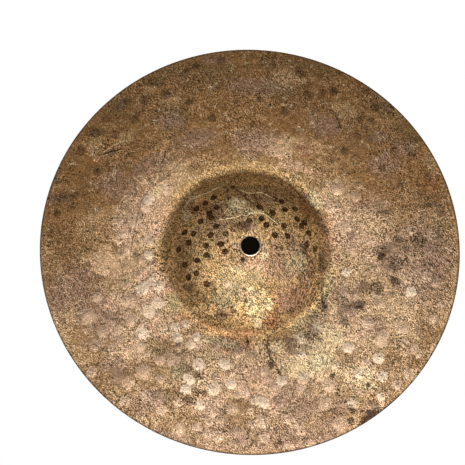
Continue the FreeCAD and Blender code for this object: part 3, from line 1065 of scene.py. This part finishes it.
# Short strokes of fine scratches, which run another way from one place to the next
for turn, channel in ((12, "X"), (72, "Y"), (-42, "Z")):
    strokes = drawn_out_noise(finish, place, turn, length=2.2 * mm, width=0.5 * mm, detail=0)
    strokes = add_node(finish, "ShaderNodeMath", {0: strokes, 1: 0.5}, operation="SUBTRACT")
    stroke_depth = add_node(
        finish,
        "ShaderNodeMapRange",
        {0: tints["cloud"].outputs[channel], 1: 0.42, 2: 0.58, 3: 0.5, 4: 5.0},
        interpolation_type="SMOOTHSTEP",
    )
    crazing_and_pit_shade = add_node(
        finish, "ShaderNodeMath", {0: strokes, 1: stroke_depth, 2: crazing_and_pit_shade}, operation="MULTIPLY_ADD"
    )

# Cracks run where a noise passes its middle value, from long ones to fine ones. A strength below nothing
# darkens, and one above it lightens.
for crack_size, detail, half_width, strength in (
    (17, 3, 0.008, -1.6),
    (9, 2, 0.010, 1.6),
    (4.5, 2, 0.018, -2.0),
    (2.8, 2, 0.030, 1.8),
    (1.7, 1, 0.045, -1.4),
):
    crack_noise = add_node(
        finish,
        "ShaderNodeTexNoise",
        {"Vector": place, "W": crack_size, "Scale": 1 / (crack_size * mm), "Detail": detail},
        noise_dimensions="4D",
    ).outputs["Fac"]
    off_middle = add_node(finish, "ShaderNodeMath", {0: crack_noise, 1: 0.5}, operation="SUBTRACT")
    off_middle = add_node(finish, "ShaderNodeMath", {0: off_middle}, operation="ABSOLUTE")
    crack = add_node(
        finish, "ShaderNodeMapRange", {0: off_middle, 1: 0.0, 2: half_width, 3: strength, 4: 0.0}
    )
    crazing_and_pit_shade = add_node(finish, "ShaderNodeMath", {0: crazing_and_pit_shade, 1: crack}, operation="ADD")
lightness = add_node(
    finish, "ShaderNodeMath", {0: crazing_and_pit_shade, 1: skin_depth, 2: lightness}, operation="MULTIPLY_ADD"
)

# The lightest places are a little greyer
paleness = add_node(finish, "ShaderNodeMapRange", {0: lightness, 1: 0.1, 2: 1.0, 3: 1.0, 4: 0.86})
darkest = -1.8
lightest = 0.95
lightness = add_node(finish, "ShaderNodeClamp", {"Value": lightness, "Min": darkest, "Max": lightest})
lightness = add_node(finish, "ShaderNodeMath", {0: 2.0, 1: lightness}, operation="POWER")
colour = add_node(
    finish, "ShaderNodeHueSaturation", {"Color": colour, "Saturation": paleness, "Value": lightness}
).outputs[0]

# No colour is brighter than full red, or the shader would cut the red short and leave the rest greenish
reddest = add_node(finish, "ShaderNodeSeparateColor", {"Color": colour}).outputs["Red"]
reddest = add_node(finish, "ShaderNodeMath", {0: reddest, 1: 1.0}, operation="MAXIMUM")
colour = add_node(finish, "ShaderNodeVectorMath", {0: colour, 1: reddest}, operation="DIVIDE")

# Creases and scratches, each as wide as given here in millimetres to either side of its middle. They
# waver, break off and fade out away from the line.
last_layers = []
broken = add_node(finish, "ShaderNodeMapRange", {0: noises["fleck"], 1: 0.4, 2: 0.52, 3: 0.4, 4: 1.0})
for line_name, line_colour, half_width, cover in (
    ("dark_lines", "#3C2814", 0.35, 0.6),
    ("bright_lines", "#E8D0A6", 0.3, 0.5),
    ("folds", "#38240F", 0.4, 0.75),
    ("creases", "#EEDDB4", 0.34, 0.85),
):
    waver = add_node(
        finish, "ShaderNodeMath", {0: ragged, 1: 0.8, 2: kept[line_name]}, operation="MULTIPLY_ADD"
    )
    waver = add_node(finish, "ShaderNodeMath", {0: waver}, operation="ABSOLUTE")
    mask = add_node(
        finish, "ShaderNodeMapRange", {0: waver, 1: 0.4 * half_width, 2: 1.6 * half_width, 3: cover, 4: 0.0}
    )
    near = add_node(
        finish, "ShaderNodeMapRange", {0: kept[line_name + "_away"], 1: 1.1, 2: 2.2, 3: 1.0, 4: 0.0}
    )
    for share in (near, broken):
        mask = add_node(finish, "ShaderNodeMath", {0: mask, 1: share}, operation="MULTIPLY")
    masks[line_name] = mask
    last_layers.append((mask, line_colour))

# Black specks of old dirt, thick where the photograph shows them
speck_size = 1.5 * mm
speck_cells = add_node(
    finish, "ShaderNodeTexVoronoi", {"Vector": place, "Scale": 1 / speck_size}, feature="F1"
)
speck_chance = add_node(finish, "ShaderNodeSeparateXYZ", {0: speck_cells.outputs["Color"]})
speck_limit = add_node(
    finish, "ShaderNodeMapRange", {0: kept["speckle"], 1: 0.2, 2: 1.0, 3: 0.03, 4: 0.6}
)
speck_chosen = add_node(
    finish, "ShaderNodeMath", {0: speck_chance.outputs["X"], 1: speck_limit}, operation="LESS_THAN"
)
speck_round = add_node(
    finish, "ShaderNodeMapRange", {0: speck_cells.outputs["Distance"], 1: 0.25, 2: 0.5, 3: 0.9, 4: 0.0}
)
speck = add_node(finish, "ShaderNodeMath", {0: speck_chosen, 1: speck_round}, operation="MULTIPLY")
last_layers.append((speck, "#33210F"))

# A darker band along the rim, and bare metal at the bore's edge
rim_darkening = add_node(finish, "ShaderNodeMapRange", {0: kept["rim_dirt"], 1: 0.2, 2: 0.9, 3: 0.0, 4: 0.85})
last_layers += [(rim_darkening, "#3A2A18"), (kept["bare"], "#E4CCA2")]
finish.links.new(laid_over(finish, colour, last_layers), shader.inputs["Base Color"])

# Crusts of verdigris and soot are duller than the bronze and hide a little of its metal. Brown skin
# shines more than the bell and the lip, and the bore's bare edge shines most.
crust = add_node(finish, "ShaderNodeMath", {0: masks["verdigris"], 1: masks["soot"]}, operation="MAXIMUM")
metal = add_node(finish, "ShaderNodeMapRange", {0: crust, 1: 0.0, 2: 0.7, 3: 1.0, 4: 0.9})
finish.links.new(metal.outputs[0], shader.inputs["Metallic"])
skin_roughness = add_node(
    finish, "ShaderNodeMapRange", {0: noises["fleck"], 1: 0.3, 2: 0.7, 3: 0.6, 4: 0.48}
)
for stain_name, added in (("gilt", 0.13), ("lip", 0.2)):
    skin_roughness = add_node(
        finish,
        "ShaderNodeMath",
        {0: masks[stain_name], 1: added, 2: skin_roughness},
        operation="MULTIPLY_ADD",
    )
dulled = add_node(finish, "ShaderNodeMix", {0: crust, 2: skin_roughness, 3: 0.85}, data_type="FLOAT")
roughness = add_node(finish, "ShaderNodeMix", {0: kept["bare"], 2: dulled, 3: 0.35}, data_type="FLOAT")
finish.links.new(roughness.outputs[0], shader.inputs["Roughness"])

# Specks and folds sink into the skin, and creases stand up
skin_relief = 0.12 * mm
skin = add_node(finish, "ShaderNodeMath", {0: noises["grain"], 1: noises["fleck"]}, operation="ADD")
for mask, rise in ((speck, -0.6), (masks["creases"], 3.0), (masks["folds"], -2.0)):
    skin = add_node(finish, "ShaderNodeMath", {0: mask, 1: rise, 2: skin}, operation="MULTIPLY_ADD")
bump = add_node(finish, "ShaderNodeBump", {"Strength": 1.0, "Distance": skin_relief, "Height": skin})
finish.links.new(bump.outputs[0], shader.inputs["Normal"])

# Stage and light
# The floor lies as far below as it does under a cymbal on its stand. Floor and backdrop are plain white.
# A soft lamp below and to the photograph's upper left lights the underside. Two wide ones above, on
# opposite sides, light the top face.


def stage_sheet(name, corners):
    """A flat sheet of the stage, with its own paint. Gives the sheet and its paint's shader."""
    sheet_mesh = bpy.data.meshes.new(name)
    sheet_mesh.from_pydata(corners, [], [tuple(range(len(corners)))])
    made = bpy.data.objects.new(name, sheet_mesh)
    bpy.context.scene.collection.objects.link(made)
    paint = bpy.data.materials.new(name)
    paint.use_nodes = True
    sheet_mesh.materials.append(paint)
    return made, paint.node_tree.nodes["Principled BSDF"]


floor_depth = 1.4
floor_reach = 60.0
floor_corners = []
for side, end in ((-1, -1), (1, -1), (1, 1), (-1, 1)):
    floor_corners.append((side * floor_reach, end * floor_reach, -floor_depth))
floor, floor_shader = stage_sheet("floor", floor_corners)
floor_shader.inputs["Base Color"].default_value = (0.8, 0.8, 0.8, 1)
floor_shader.inputs["Emission Color"].default_value = (1, 1, 1, 1)
floor_shader.inputs["Emission Strength"].default_value = 0.9
floor.visible_diffuse = False
floor.visible_glossy = False

# The bore shows black in the photograph, so a matt black card closes it, just inside the underside
card_radius = bore_radius - 0.05 * mm
card_height = bore_height + 0.1 * mm
card_corner_count = 48
card_corners = []
for corner in range(card_corner_count):
    turn = math.tau * corner / card_corner_count
    card_corners.append((card_radius * math.cos(turn), card_radius * math.sin(turn), card_height))
card, card_shader = stage_sheet("black_card", card_corners)
card_shader.inputs["Base Color"].default_value = (0.004, 0.003, 0.002, 1)
card_shader.inputs["Roughness"].default_value = 1.0
card_shader.inputs["Specular IOR Level"].default_value = 0.0

# The lens sees a white world, which lights the cymbal only faintly
world = bpy.data.worlds.new("studio")
world.use_nodes = True
world_tree = world.node_tree
light_path = add_node(world_tree, "ShaderNodeLightPath")
world_strength = add_node(
    world_tree, "ShaderNodeMapRange", {0: light_path.outputs["Is Camera Ray"], 3: 0.07, 4: 1.0}
)
background = world_tree.nodes["Background"]
background.inputs["Color"].default_value = (1, 1, 1, 1)
world_tree.links.new(world_strength.outputs[0], background.inputs["Strength"])
bpy.context.scene.world = world
bpy.context.scene.view_settings.view_transform = "Standard"

for lamp_name, lamp_place, power, width in (
    ("key", (-0.21, -0.47, -1.03), 17.1, 0.35),
    ("top", (0.5, -0.6, 1.3), 26, 1.2),
    ("top fill", (-0.9, 0.9, 0.9), 10, 1.2),
):
    lamp_data = bpy.data.lights.new(lamp_name, "AREA")
    lamp_data.energy = power
    lamp_data.size = width
    lamp = bpy.data.objects.new(lamp_name, lamp_data)
    lamp.location = lamp_place
    lamp.rotation_mode = "QUATERNION"
    lamp.rotation_quaternion = (-Vector(lamp_place)).to_track_quat("-Z", "Y")
    lamp.visible_camera = False
    bpy.context.scene.collection.objects.link(lamp)
